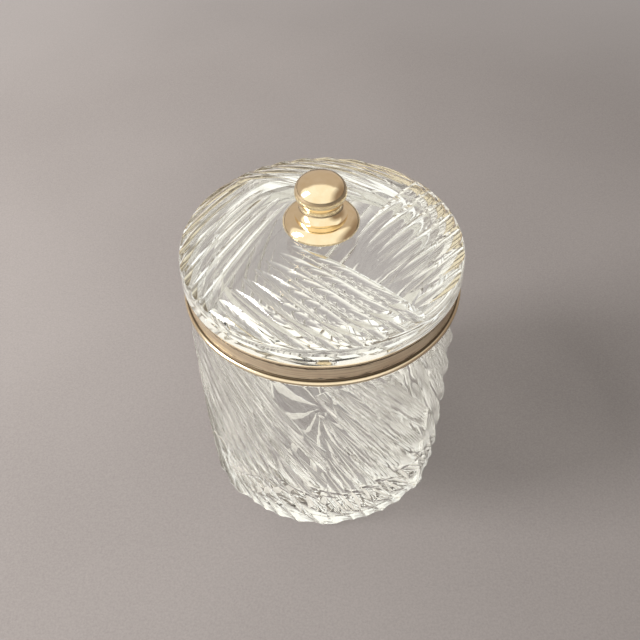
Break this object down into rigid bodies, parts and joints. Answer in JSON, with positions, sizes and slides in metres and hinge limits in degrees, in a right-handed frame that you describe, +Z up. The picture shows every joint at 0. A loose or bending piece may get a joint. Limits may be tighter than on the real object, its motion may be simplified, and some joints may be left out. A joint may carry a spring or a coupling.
{
  "type": "lidded candy dish",
  "caption": "Heavy cut-glass candy dish with swirling wall flutes, a star-cut foot, a brass rim collar and a lift-off domed glass lid with a brass ball knob.",
  "frame": {"origin": "middle of the foot, on the surface that the dish stands on", "axes": "+Z up through the knob, -Y towards the viewer of the picture, +X to the viewer's right"},
  "size_m": [0.12, 0.12, 0.1631],
  "materials": {
    "cut_glass": "polished clear lead crystal",
    "collar_brass": "satin champagne gold",
    "plaster": "matte white plaster",
    "polished_brass": "polished pale gold",
    "soft_washer": "matte translucent",
    "screw_brass": "plain brass"
  },
  "bodies": {
    "jar": {"jar_body": "cut_glass", "rim_collar": "collar_brass", "collar_plaster": "plaster"},
    "lid": {"lid_glass": "cut_glass", "lid_knob": "polished_brass", "knob_rosette": "polished_brass", "upper_washer": "soft_washer", "lower_washer": "soft_washer", "plate_washer": "screw_brass", "knob_screw": "screw_brass"}
  },
  "joints": [
    {"name": "lid_lift", "type": "slide", "parent": "jar", "child": "lid", "axis": [0, 0, 1], "range_m": [0, 0.08]}
  ]
}
